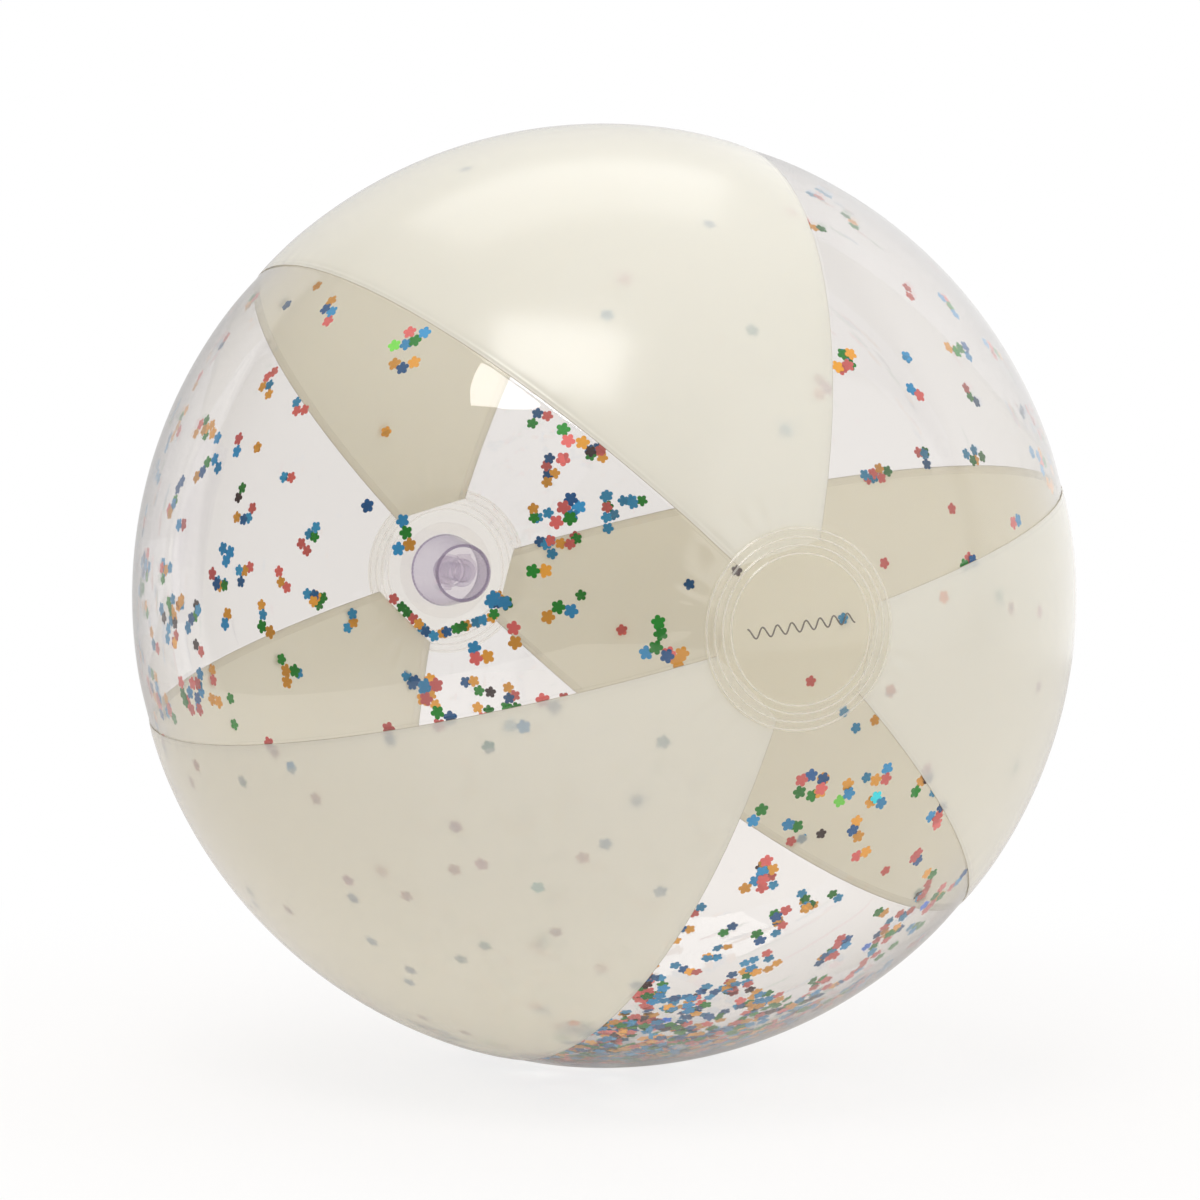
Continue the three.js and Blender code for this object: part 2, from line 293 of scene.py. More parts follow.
def floor_material():
    """Pale and matt, with a white glow mixed in that is painted light: a share of it lights the ball from
    below, and where a camera looks there is more, so it is paler still, lightens the ball's shadow there
    and fades out, so that no horizon shows.
    """
    material, nodes, links, output = new_material("studio_floor")
    surface = nodes.new("ShaderNodeBsdfDiffuse")
    surface.inputs["Color"].default_value = (0.84, 0.795, 0.765, 1)
    white_glow = nodes.new("ShaderNodeEmission")
    white_glow.inputs["Color"].default_value = (*WHITE, 1)
    place = nodes.new("ShaderNodeTexCoord")
    distance = nodes.new("ShaderNodeVectorMath")
    distance.operation = "LENGTH"
    links.new(place.outputs["Object"], distance.inputs[0])
    fade = nodes.new("ShaderNodeMapRange")
    fade.interpolation_type = "SMOOTHSTEP"
    fade.inputs["From Min"].default_value = 0.12
    fade.inputs["From Max"].default_value = 0.5
    fade.inputs["To Min"].default_value = 0.80
    fade.inputs["To Max"].default_value = 1.0
    links.new(distance.outputs["Value"], fade.inputs["Value"])
    ray = nodes.new("ShaderNodeLightPath")
    direct = nodes.new("ShaderNodeMath")
    direct.operation = "LESS_THAN"
    direct.inputs[1].default_value = 0.5
    links.new(ray.outputs["Transparent Depth"], direct.inputs[0])
    looked_at = nodes.new("ShaderNodeMath")
    looked_at.operation = "MULTIPLY"
    links.new(ray.outputs["Is Camera Ray"], looked_at.inputs[0])
    links.new(direct.outputs[0], looked_at.inputs[1])
    # Share of painted white glow: FLOOR_GLOW for light sent on, more where a camera looks, which lightens
    # the ball's shadow on the floor.
    share = nodes.new("ShaderNodeMix")
    share.inputs["A"].default_value = FLOOR_GLOW
    links.new(looked_at.outputs[0], share.inputs["Factor"])
    links.new(fade.outputs["Result"], share.inputs["B"])
    shown = add_mix(nodes, links, share.outputs[0], surface.outputs[0], white_glow.outputs[0])
    links.new(shown, output.inputs["Surface"])
    return material


def make_floor():
    """A table top whose left edge the clear film reflects."""
    corners = [(-0.61, -1.2, 0), (1.1, -1.2, 0), (1.1, 1.6, 0), (-0.61, 1.6, 0)]
    data = mesh_data("studio_floor", corners, [(0, 1, 2, 3)])
    data.materials.append(floor_material())
    floor = link(data, "studio_floor")
    floor.location.z = -RADIUS - 1.5 * MM


# Materials


def new_material(name):
    """An empty node material. Returns it with its nodes, its links and its output node."""
    material = bpy.data.materials.new(name)
    material.use_nodes = True
    nodes, links = material.node_tree.nodes, material.node_tree.links
    nodes.clear()
    return material, nodes, links, nodes.new("ShaderNodeOutputMaterial")


def add_mix(nodes, links, factor, first, second):
    """Mixes two shaders by a number or by an output socket. Returns the mixed shader's output."""
    mix = nodes.new("ShaderNodeMixShader")
    if isinstance(factor, (int, float)):
        mix.inputs["Fac"].default_value = factor
    else:
        links.new(factor, mix.inputs["Fac"])
    links.new(first, mix.inputs[1])
    links.new(second, mix.inputs[2])
    return mix.outputs[0]


def add_noise(nodes, links, scale, detail=3.0):
    """Noise in the piece's own place, with scale in cycles a metre. Returns its output."""
    place = nodes.new("ShaderNodeTexCoord")
    noise = nodes.new("ShaderNodeTexNoise")
    noise.inputs["Scale"].default_value = scale
    noise.inputs["Detail"].default_value = detail
    links.new(place.outputs["Object"], noise.inputs["Vector"])
    return noise.outputs["Fac"]


def add_bump(nodes, links, height, distance, strength):
    bump = nodes.new("ShaderNodeBump")
    bump.inputs["Distance"].default_value = distance
    bump.inputs["Strength"].default_value = strength
    links.new(height, bump.inputs["Height"])
    return bump.outputs["Normal"]


def add_edge_share(nodes, links, power):
    """0 where the surface is seen or lit square on, rising to 1 at grazing angles."""
    facing = nodes.new("ShaderNodeLayerWeight")
    facing.inputs["Blend"].default_value = 0.5
    share = nodes.new("ShaderNodeMath")
    share.operation = "POWER"
    share.inputs[1].default_value = power
    links.new(facing.outputs["Facing"], share.inputs[0])
    return share.outputs[0]


def add_reflectance(nodes, links, square_on):
    """Schlick's reflectance of a smooth surface, which treats both of its sides alike."""
    share = add_edge_share(nodes, links, 5.0)
    scale = nodes.new("ShaderNodeMapRange")
    scale.inputs["To Min"].default_value = square_on
    scale.inputs["To Max"].default_value = 1.0
    links.new(share, scale.inputs["Value"])
    return scale.outputs["Result"]


def cream_film_material():
    """Milky film: satin outside, glowing where light comes through, with a little see-through."""
    material, nodes, links, output = new_material("cream_film")
    mottle = add_noise(nodes, links, 22.0)
    colour = nodes.new("ShaderNodeValToRGB")
    colour.color_ramp.elements[0].color = (0.855, 0.885, 0.895, 1)
    colour.color_ramp.elements[1].color = (0.880, 0.910, 0.925, 1)
    links.new(mottle, colour.inputs["Fac"])
    surface = nodes.new("ShaderNodeBsdfDiffuse")
    links.new(colour.outputs["Color"], surface.inputs["Color"])
    glow = nodes.new("ShaderNodeBsdfTranslucent")
    glow.inputs["Color"].default_value = (0.985, 0.905, 0.70, 1)
    clear = nodes.new("ShaderNodeBsdfTransparent")
    milky = add_mix(nodes, links, 0.46, surface.outputs[0], glow.outputs[0])
    body = add_mix(nodes, links, 0.15, milky, clear.outputs[0])
    gloss = nodes.new("ShaderNodeBsdfGlossy")
    gloss.inputs["Roughness"].default_value = 0.20
    waves = add_bump(nodes, links, add_noise(nodes, links, 60.0), 0.12 * MM, 0.4)
    links.new(waves, gloss.inputs["Normal"])
    sheen = add_mix(nodes, links, add_reflectance(nodes, links, CREAM_REFLECTANCE), body, gloss.outputs[0])
    links.new(sheen, output.inputs["Surface"])
    return material


def add_from_axis(nodes, links):
    """Distance from the polar axis, in metres, as an output."""
    place = nodes.new("ShaderNodeTexCoord")
    flat = nodes.new("ShaderNodeVectorMath")
    flat.operation = "MULTIPLY"
    flat.inputs[1].default_value = (1, 0, 1)
    links.new(place.outputs["Object"], flat.inputs[0])
    distance = nodes.new("ShaderNodeVectorMath")
    distance.operation = "LENGTH"
    links.new(flat.outputs[0], distance.inputs[0])
    return distance.outputs["Value"]


def add_weld_share(nodes, links):
    """Share of milky weld on a disc: none in its middle, a little between its ridges, most on them."""
    distance = add_from_axis(nodes, links)
    wave = nodes.new("ShaderNodeMath")
    wave.operation = "MULTIPLY_ADD"
    wave.inputs[1].default_value = TAU / RIDGE_SPACING
    wave.inputs[2].default_value = -TAU * RIDGE_RADII[0] / RIDGE_SPACING
    links.new(distance, wave.inputs[0])
    crest = nodes.new("ShaderNodeMath")
    crest.operation = "COSINE"
    links.new(wave.outputs[0], crest.inputs[0])
    ridge = nodes.new("ShaderNodeMapRange")
    ridge.inputs["From Min"].default_value = 0.55
    ridge.inputs["To Min"].default_value = 0.02
    ridge.inputs["To Max"].default_value = 0.30
    links.new(crest.outputs[0], ridge.inputs["Value"])
    ring = nodes.new("ShaderNodeMapRange")
    ring.interpolation_type = "SMOOTHSTEP"
    ring.inputs["From Min"].default_value = RIDGE_RADII[0] - 0.9 * MM
    ring.inputs["From Max"].default_value = RIDGE_RADII[0] - 0.2 * MM
    links.new(distance, ring.inputs["Value"])
    share = nodes.new("ShaderNodeMath")
    share.operation = "MULTIPLY"
    links.new(ridge.outputs["Result"], share.inputs[0])
    links.new(ring.outputs["Result"], share.inputs[1])
    return share.outputs[0]


def see_through_material(
        name, tint, edge_tint, haze, haze_colour, roughness=0.02, edge_power=7.0, welds=False):
    """Clear vinyl as a thin sheet: tinted, darker where seen along, glossy and slightly hazy."""
    material, nodes, links, output = new_material(name)
    shade = nodes.new("ShaderNodeMix")
    shade.data_type = "RGBA"
    shade.inputs["A"].default_value = (*tint, 1)
    shade.inputs["B"].default_value = (*edge_tint, 1)
    links.new(add_edge_share(nodes, links, edge_power), shade.inputs["Factor"])
    clear = nodes.new("ShaderNodeBsdfTransparent")
    links.new(shade.outputs["Result"], clear.inputs["Color"])
    cloudy = nodes.new("ShaderNodeBsdfTranslucent")
    cloudy.inputs["Color"].default_value = (*haze_colour, 1)
    dusty = nodes.new("ShaderNodeBsdfDiffuse")
    dusty.inputs["Color"].default_value = (*haze_colour, 1)
    veil = add_mix(nodes, links, 0.5, cloudy.outputs[0], dusty.outputs[0])
    blotches = nodes.new("ShaderNodeMapRange")
    blotches.inputs["To Min"].default_value = 0.6 * haze
    blotches.inputs["To Max"].default_value = 1.4 * haze
    links.new(add_noise(nodes, links, 45.0), blotches.inputs["Value"])
    body = add_mix(nodes, links, blotches.outputs["Result"], clear.outputs[0], veil)
    if welds:
        body = add_mix(nodes, links, add_weld_share(nodes, links), body, veil)
    gloss = nodes.new("ShaderNodeBsdfGlossy")
    gloss.inputs["Roughness"].default_value = roughness
    waves = add_bump(nodes, links, add_noise(nodes, links, 35.0, 1.0), 0.1 * MM, 0.6)
    links.new(waves, gloss.inputs["Normal"])
    reflectance = add_reflectance(nodes, links, CLEAR_REFLECTANCE)
    links.new(add_mix(nodes, links, reflectance, body, gloss.outputs[0]), output.inputs["Surface"])
    return material


def seam_shade_line_material():
    """A fine strip of vinyl flash along a seam, which looks darker than the film: its dark colour is
    painted shade for the shadow at the cream gore's cut edge.
    """
    material, nodes, links, output = new_material("seam_shade_line")
    colour = nodes.new("ShaderNodeValToRGB")
    # Dark brown: painted shade for the seam's shadow line.
    colour.color_ramp.elements[0].color = (0.42, 0.37, 0.28, 1)
    colour.color_ramp.elements[1].color = (0.60, 0.55, 0.46, 1)
    links.new(add_noise(nodes, links, 400.0), colour.inputs["Fac"])
    surface = nodes.new("ShaderNodeBsdfPrincipled")
    surface.inputs["Roughness"].default_value = 0.3
    links.new(colour.outputs["Color"], surface.inputs["Base Color"])
    links.new(surface.outputs[0], output.inputs["Surface"])
    return material


def confetti_material(name, colour, metallic):
    """Foil flowers, each a little lighter, darker or duller than the next."""
    material, nodes, links, output = new_material(name)
    each = nodes.new("ShaderNodeNewGeometry")
    tone = nodes.new("ShaderNodeMapRange")
    tone.inputs["To Min"].default_value = 0.75
    tone.inputs["To Max"].default_value = 1.15
    links.new(each.outputs["Random Per Island"], tone.inputs["Value"])
    shade = nodes.new("ShaderNodeHueSaturation")
    shade.inputs["Color"].default_value = (*colour, 1)
    links.new(tone.outputs["Result"], shade.inputs["Value"])
    surface = nodes.new("ShaderNodeBsdfPrincipled")
    surface.inputs["Metallic"].default_value = metallic
    surface.inputs["Roughness"].default_value = 0.38
    surface.inputs["Specular IOR Level"].default_value = 0.25
    links.new(shade.outputs["Color"], surface.inputs["Base Color"])
    grain = add_bump(nodes, links, add_noise(nodes, links, 3000.0), 0.02 * MM, 0.4)
    links.new(grain, surface.inputs["Normal"])
    links.new(surface.outputs[0], output.inputs["Surface"])
    return material


def ink_material(name, colour):
    """Screen-printed ink, uneven where it is thin."""
    material, nodes, links, output = new_material(name)
    surface = nodes.new("ShaderNodeBsdfPrincipled")
    surface.inputs["Base Color"].default_value = (*colour, 1)
    surface.inputs["Roughness"].default_value = 0.5
    clear = nodes.new("ShaderNodeBsdfTransparent")
    thin = nodes.new("ShaderNodeMapRange")
    thin.inputs["From Min"].default_value = 0.35
    thin.inputs["From Max"].default_value = 0.6
    thin.inputs["To Min"].default_value = 0.35
    thin.inputs["To Max"].default_value = 0.05
    links.new(add_noise(nodes, links, 900.0), thin.inputs["Value"])
    links.new(
        add_mix(nodes, links, thin.outputs["Result"], surface.outputs[0], clear.outputs[0]),
        output.inputs["Surface"],
    )
    return material


# Mesh helpers


def finish_mesh(data, name, body, material):
    """Makes the object of a piece from mesh data: smooth, with a material and on a body."""
    data.validate()
    data.shade_smooth()
    data.set_sharp_from_angle(angle=SHARP_ANGLE)
    data.materials.append(material)
    piece = link(data, name)
    if body:
        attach(piece, body)
    return piece


def mesh_data(name, vertices, faces):
    data = bpy.data.meshes.new(name)
    data.from_pydata(vertices, [], faces)
    return data


def on_ball(polar, turn, radius):
    """Points at those polar angles, turns and radii, as an array whose last axis is x, y, z."""
    reach = radius * np.sin(polar)
    return np.stack([-reach * np.sin(turn), -radius * np.cos(polar), reach * np.cos(turn)], axis=-1)


def smooth_step(value):
    held = np.clip(value, 0, 1)
    return held * held * (3 - 2 * held)


def bump_at(distance, centre, width):
    """A smooth bump of height 1 at a distance."""
    return np.exp(-(((distance - centre) / width) ** 2))


def relief(polar, turn):
    """How far the inflated skin lies outside its sphere: puckers round the discs and along the seams."""
    from_axis = RADIUS * np.sin(polar)
    from_seam = np.abs(np.mod(turn - FIRST_SEAM + SECTOR / 2, SECTOR) - SECTOR / 2) * from_axis
    along = RADIUS * polar
    rim = bump_at(from_axis, DISC_RADIUS + 7 * MM, 5 * MM)
    rays = 0.6 * np.cos(29 * turn) + 0.4 * np.cos(43 * turn + 1.3) - 0.5
    seam = bump_at(from_seam, 0, 6 * MM)
    ripple = 0.6 * np.cos(along * TAU / (13 * MM)) + 0.4 * np.cos(along * TAU / (8.3 * MM) + turn)
    valley = bump_at(from_seam, 0, 11 * MM) * smooth_step(from_axis / (80 * MM))
    return RIM_PUCKER * rim * rays + SEAM_RIPPLE * seam * ripple - SEAM_VALLEY * valley


# Gores


def cut_end(from_middle):
    """Polar angle of a gore's cut end: one side of the hexagon under the disc."""
    within = np.mod(from_middle + SECTOR / 2, SECTOR) - SECTOR / 2
    return np.arcsin(HEXAGON_APOTHEM / np.cos(within) / RADIUS)


def row_polar(row, from_middle):
    end = cut_end(from_middle)
    return end + (math.pi - 2 * end) * row / GORE_ROWS


def gore_grid(edge_distances, runs_under):
    """Polar angle, turn from the middle and distance from the nearer edge, for each point of a gore."""
    rows = np.arange(GORE_ROWS + 1)[:, None]
    seam_reach = RADIUS * np.sin(row_polar(rows, SECTOR / 2))
    half = SECTOR / 2 + (LAP / seam_reach if runs_under else 0 * seam_reach)
    near = np.array(edge_distances)[None, :] / seam_reach
    share = np.linspace(0, 1, GORE_MIDDLE_COLUMNS)[None, 1:-1]
    inner = half - near[:, -1:]
    turn = np.hstack([near - half, inner * (2 * share - 1), (half - near)[:, ::-1]])
    from_edge = (half - np.abs(turn)) * seam_reach
    return row_polar(rows, turn), turn, from_edge


def cream_skin(from_edge):
    """Outside of a cream gore: its edge is pressed down on to the clear film, behind a weld bead."""
    pressed = EDGE_PRESSED * (1 - smooth_step(from_edge / (4 * MM)))
    return RADIUS - pressed + WELD_LINE_HEIGHT * bump_at(from_edge, 1.2 * MM, 0.4 * MM)


def clear_skin(from_edge):
    """Outside of a clear gore: a fine weld line stands just beyond the cream gore's edge."""
    return RADIUS - UNDER_LAP + WELD_LINE_HEIGHT * bump_at(from_edge, LAP + 0.9 * MM, 0.28 * MM)


def shell_faces(rows, columns):
    """Faces of a closed thin shell over a grid of points, outside layer first."""
    index = np.arange((rows + 1) * (columns + 1)).reshape(rows + 1, columns + 1)
    inside = index + index.size
    top = np.stack([index[:-1, :-1], index[:-1, 1:], index[1:, 1:], index[1:, :-1]], -1).reshape(-1, 4)
    bottom = top[:, ::-1] + index.size
    rim = np.concatenate([index[0, :-1], index[:-1, -1], index[-1, :0:-1], index[:0:-1, 0]])
    after = np.roll(rim, -1)
    sides = np.stack([after, rim, rim + inside[0, 0], after + inside[0, 0]], -1)
    return np.concatenate([top, bottom, sides])


def make_gore(name, middle, material):
    clear = name.startswith("clear")
    distances = CLEAR_EDGE_COLUMNS if clear else CREAM_EDGE_COLUMNS
    polar, turn, from_edge = gore_grid([distance * MM for distance in distances], clear)
    skin = (clear_skin if clear else cream_skin)(from_edge) + relief(polar, middle + turn)
    outside = on_ball(polar, middle + turn, skin)
    inside = on_ball(polar, middle + turn, skin - FILM)
    vertices = np.concatenate([outside.reshape(-1, 3), inside.reshape(-1, 3)])
    faces = shell_faces(polar.shape[0] - 1, polar.shape[1] - 1)
    data = mesh_data(name + "_film", vertices.tolist(), faces.tolist())
    piece = finish_mesh(data, name + "_film", "ball", material)
    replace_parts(piece, name)


GORE_NAMES = [
    "cream_gore_top",
    "clear_gore_upper_right",
    "cream_gore_lower_right",
    "clear_gore_bottom",
    "cream_gore_lower_left",
    "clear_gore_upper_left",
]


def make_gores(cream, clear):
    for index, name in enumerate(GORE_NAMES):
        middle = FIRST_SEAM - SECTOR * (index + 0.5)
        make_gore(name, middle, clear if name.startswith("clear") else cream)


def tube(name, path, radius, sides=8):
    """Mesh data of a closed-ended tube along a path of points."""
    path = np.array(path)
    along = np.gradient(path, axis=0)
    along /= np.linalg.norm(along, axis=1)[:, None]
    up = path / np.linalg.norm(path, axis=1)[:, None]
    side = np.cross(along, up)
    angle = np.arange(sides) * TAU / sides
    rings = path[:, None] + radius * (
        np.cos(angle)[None, :, None] * side[:, None] + np.sin(angle)[None, :, None] * up[:, None])
    faces = []
    for ring in range(len(path) - 1):
        for side_number in range(sides):
            here, after = ring * sides + side_number, ring * sides + (side_number + 1) % sides
            faces.append((here, after, after + sides, here + sides))
    last = (len(path) - 1) * sides
    faces.append(tuple(range(sides))[::-1])
    faces.append(tuple(last + number for number in range(sides)))
    return mesh_data(name, rings.reshape(-1, 3).tolist(), faces)


def make_seam_shade_lines(material):
    """A fine dark line along the cut edge of the cream gores, at each seam, drawn as a flash of vinyl:
    painted shade for the shadow at that edge.
    """
    for number in range(GORES):
        turn = FIRST_SEAM - SECTOR * number
        rows = np.linspace(0, GORE_ROWS, GORE_ROWS + 1)
        polar = row_polar(rows, SECTOR / 2)
        radius = RADIUS - SEAM_SHADE_LINE_DEPTH + relief(polar, turn)
        clear_side = -1 if number % 2 else 1
        beyond = clear_side * SEAM_SHADE_LINE_BEYOND / (RADIUS * np.sin(polar))
        path = on_ball(polar, turn + beyond, radius)
        name = f"seam_shade_line_{number + 1}"
        finish_mesh(tube(name, path, SEAM_SHADE_LINE_RADIUS), name, "ball", material)


def make_ornament(material):
    """A printed wavy line across the front disc, in place of any lettering."""
    across = np.linspace(-WAVE_WIDTH / 2, WAVE_WIDTH / 2, 261)
    rise = WAVE_HEIGHT * np.sin(across / WAVE_WIDTH * TAU * WAVES) + 1.3 * MM
    x = across * math.cos(WAVE_TILT) - rise * math.sin(WAVE_TILT)
    z = across * math.sin(WAVE_TILT) + rise * math.cos(WAVE_TILT)
    path = np.stack([x, -skin_height(DISC_SKIN + 0.05 * MM, np.hypot(x, z)), z], axis=-1)
    line = tube("printed_wave", path, WAVE_LINE_RADIUS)
    finish_mesh(line, "printed_wave", "ball", material)


# Turned pieces


def lathe(name, profile, sectors=LATHE_SECTORS):
    """Mesh data of a closed profile of (distance, height) turned about the polar axis."""
    mesh = bmesh.new()
    points = [mesh.verts.new((distance, height, 0)) for distance, height in profile]
    edges = [mesh.edges.new(pair) for pair in zip(points, points[1:])]
    bmesh.ops.spin(mesh, geom=points + edges, cent=(0, 0, 0), axis=(0, 1, 0), angle=TAU, steps=sectors)
    bmesh.ops.remove_doubles(mesh, verts=mesh.verts, dist=1e-7)
    bmesh.ops.recalc_face_normals(mesh, faces=mesh.faces)
    data = bpy.data.meshes.new(name)
    mesh.to_mesh(data)
    mesh.free()
    return data


def reshape(data, move):
    """Moves the vertices of mesh data by a function of their array."""
    places = np.zeros(len(data.vertices) * 3)
    data.vertices.foreach_get("co", places)
    data.vertices.foreach_set("co", move(places.reshape(-1, 3)).ravel())
    data.update()


def skin_height(sphere, distance):
    return np.sqrt(sphere**2 - distance**2)


def disc_profile(hole):
    """Closed section of a weld disc, ridged outside and smooth inside, from its hole to its rim."""
    outwards = np.concatenate([
        np.linspace(hole, RIDGE_RADII[0] - 1.4 * MM, 12)[:-1],
        np.linspace(RIDGE_RADII[0] - 1.4 * MM, DISC_RADIUS, 64),
    ])
    ridges = sum(bump_at(outwards, ridge, RIDGE_WIDTH) for ridge in RIDGE_RADII)
    outside = skin_height(DISC_SKIN + RIDGE_HEIGHT * ridges, outwards)
    inwards = np.linspace(DISC_RADIUS, hole, 30)
    inside = skin_height(DISC_SKIN - DISC_FILM, inwards)
    profile = [*zip(outwards, outside), *zip(inwards, inside)]
    if hole > 0:
        profile.append(profile[0])
    return profile


def turn_to_front(places):
    return places * np.array([-1, -1, 1])


def make_discs(material):
    front = lathe("front_disc_film", disc_profile(0.0))
    reshape(front, turn_to_front)
    valve = lathe("valve_disc_film", disc_profile(DISC_HOLE_RADIUS))
    for data, node in ((front, "front_disc"), (valve, "valve_disc")):
        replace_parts(finish_mesh(data, data.name, "ball", material), node)


def closed(*corners):
    return [*corners, corners[0]]


def soften(piece, width):
    """Rounds the corners of a moulded piece."""
    bevel = piece.modifiers.new("rounded_corners", "BEVEL")
    bevel.width = width
    bevel.segments = 3
    bevel.limit_method = "ANGLE"
    bevel.angle_limit = math.radians(35)


def moulded(name, profile, node, body, material, rounding):
    piece = finish_mesh(lathe(name, profile, MOULDED_SECTORS), name, body, material)
    soften(piece, rounding)
    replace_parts(piece, node)
    return piece


def make_flange(material):
    bore = CUP_MOUTH_RADIUS + 0.3 * MM
    top, rim_top = skin_height(RADIUS, bore), skin_height(RADIUS, FLANGE_RADIUS)
    moulded("valve_flange_ring", closed(
        (bore, top),
        (FLANGE_RADIUS, rim_top),
        (FLANGE_RADIUS, rim_top - FLANGE_THICKNESS),
        (bore, top - FLANGE_THICKNESS),
    ), "valve_flange", "ball", material, 0.2 * MM)


def make_cup(material):
    """The soft wall of the cup, as a fixed shape; on the real valve it rolls inside out as the stem is
    drawn out.
    """
    share = np.linspace(0, 1, 44)
    heights = CUP_TOP + (CUP_BOTTOM - CUP_TOP) * share
    reach = CUP_MOUTH_RADIUS + (CUP_END_RADIUS - CUP_MOUTH_RADIUS) * share
    outside = list(zip(reach, heights))
    inside = list(zip(reach - CUP_WALL, heights))
    data = lathe("valve_cup_wall", [*outside, *inside[::-1], outside[0]])
    piece = finish_mesh(data, "valve_cup_wall", None, material)
    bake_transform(piece)
    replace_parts(piece, "valve_cup")


def make_bead(name, radius, height, width, body, material):
    """A toothed bead moulded round one end of the cup."""
    angles = np.linspace(0, TAU, 12, endpoint=False)
    section = [(radius + width * math.cos(angle), height + width * math.sin(angle)) for angle in angles]
    data = lathe(name, closed(*section), 4 * CUP_TEETH)

    def add_teeth(places):
        turn = np.arctan2(-places[:, 0], places[:, 2])
        share = 0.75 + 0.25 * np.cos(CUP_TEETH * turn)
        reach = np.hypot(places[:, 0], places[:, 2])
        new_reach = radius + (reach - radius) * share
        new_height = height + (places[:, 1] - height) * share
        scale = new_reach / reach
        return np.stack([places[:, 0] * scale, new_height, places[:, 2] * scale], axis=-1)

    reshape(data, add_teeth)
    finish_mesh(data, name, body, material)


def make_beads(material):
    mouth, end = CUP_MOUTH_BEAD, CUP_END_BEAD
    make_bead("cup_mouth_bead", CUP_MOUTH_RADIUS - CUP_WALL / 2, CUP_TOP - mouth, mouth, "ball", material)
    make_bead("cup_end_bead", CUP_END_RADIUS - end, CUP_BOTTOM + end, end, "valve_stem", material)


def make_stem(material):
    lip_top = STEM_MOUTH - LIP_BELOW_MOUTH
    floor_top = CUP_BOTTOM + STEM_FLOOR
    moulded("valve_stem_tube", closed(
        (BORE_RADIUS, STEM_MOUTH),
        (STEM_RADIUS, STEM_MOUTH),
        (STEM_RADIUS, lip_top),
        (LIP_RADIUS, lip_top),
        (LIP_RADIUS, lip_top - LIP_THICKNESS),
        (STEM_RADIUS, lip_top - LIP_THICKNESS),
        (STEM_RADIUS, floor_top),
        (FLOOR_RADIUS, floor_top),
        (FLOOR_RADIUS, CUP_BOTTOM),
        (BORE_RADIUS, CUP_BOTTOM),
    ), "valve_stem", "valve_stem", material, 0.25 * MM)


def make_plug(material):
    underside = PLUG_FACE - PLUG_THICKNESS
    moulded("plug_body", [
        (0, PLUG_FACE),
        (PLUG_RADIUS, PLUG_FACE),
        (PLUG_RADIUS, underside),
        (SHANK_RADIUS, underside),
        (SHANK_TIP_RADIUS, PLUG_TIP),
        (0, PLUG_TIP),
    ], "valve_plug", "plug", material, 0.3 * MM)


# Confetti

# Each foil's colour, its material slot, how metallic it looks, and its share of the strewn flowers.
FOILS = {
    "blue": ((0.028, 0.31, 0.61), "confetti_blue", 0.25, 0.27),
    "teal": ((0.010, 0.11, 0.31), "confetti_teal", 0.3, 0.11),
    "green": ((0.007, 0.25, 0.014), "confetti_green", 0.25, 0.18),
    "pink": ((0.76, 0.145, 0.13), "confetti_pink", 0.25, 0.22),
    "gold": ((0.86, 0.39, 0.04), "confetti_gold", 0.25, 0.19),
    "soot": ((0.036, 0.007, 0.007), "confetti_teal", 0.1, 0.03),
    # The last three are painted glints: rare flowers of a bright plain colour that stand for foil flashing
    # in the light.
    "cyan_glint": ((0.02, 0.85, 0.95), "confetti_blue", 0.0, 0.004),
    "azure_glint": ((0.02, 0.22, 1.0), "confetti_blue", 0.0, 0.003),
    "lime_glint": ((0.22, 0.80, 0.08), "confetti_green", 0.0, 0.003),
}
PETALS = 5
PETAL_RADIUS = 0.955 * MM
PETAL_POINTS = 7
FLOWER_THICKNESS = 0.05 * MM
LAYERS = 7
LAYER_STEP = 0.06 * MM          # between flowers that cling over one another
CLING_DEPTH = 1.05 * MM        # from the skin in to a flower that clings to a clear gore
CREAM_CLING_DEPTH = 0.40 * MM
CREAM_LAYERS = 2
HEAP_DEPTH = 1.95 * MM
HEAP_THICKNESS = 1.6 * MM
LEDGE_TURNS = range(118, 250, 7)   # flowers caught on the valve disc's lower edge, in degrees
LEDGE_SHARE = 0.93             # of the polar distance from the valve to the gores' cut ends
LOWEST = (90, 180)             # polar angle and turn of the ball's lowest point, in degrees

CLING_CLUMPS = 430             # how many clumps static holds to the wall
CREAM_SHARE = 0.3              # how likely they are under cream, against the same place under clear film
CLING_REACH = math.cos(math.radians(13))   # as near to each pole as they cling


def flower_outline():
    """Points of a flower of round petals that run into each other, about its centre."""
    reach = CONFETTI_RADIUS - PETAL_RADIUS
    spacing = TAU / PETALS
    across = reach * math.sin(spacing / 2)
    notch = reach * math.cos(spacing / 2) + math.sqrt(PETAL_RADIUS**2 - across**2)
    sweep = math.atan2(notch * math.sin(spacing / 2), notch * math.cos(spacing / 2) - reach)
    points = []
    for petal in range(PETALS):
        facing = petal * spacing
        for step in range(PETAL_POINTS):
            angle = facing + sweep * (2 * step / PETAL_POINTS - 1)
            points.append((
                reach * math.cos(facing) + PETAL_RADIUS * math.cos(angle),
                reach * math.sin(facing) + PETAL_RADIUS * math.sin(angle),
            ))
    return np.array(points)


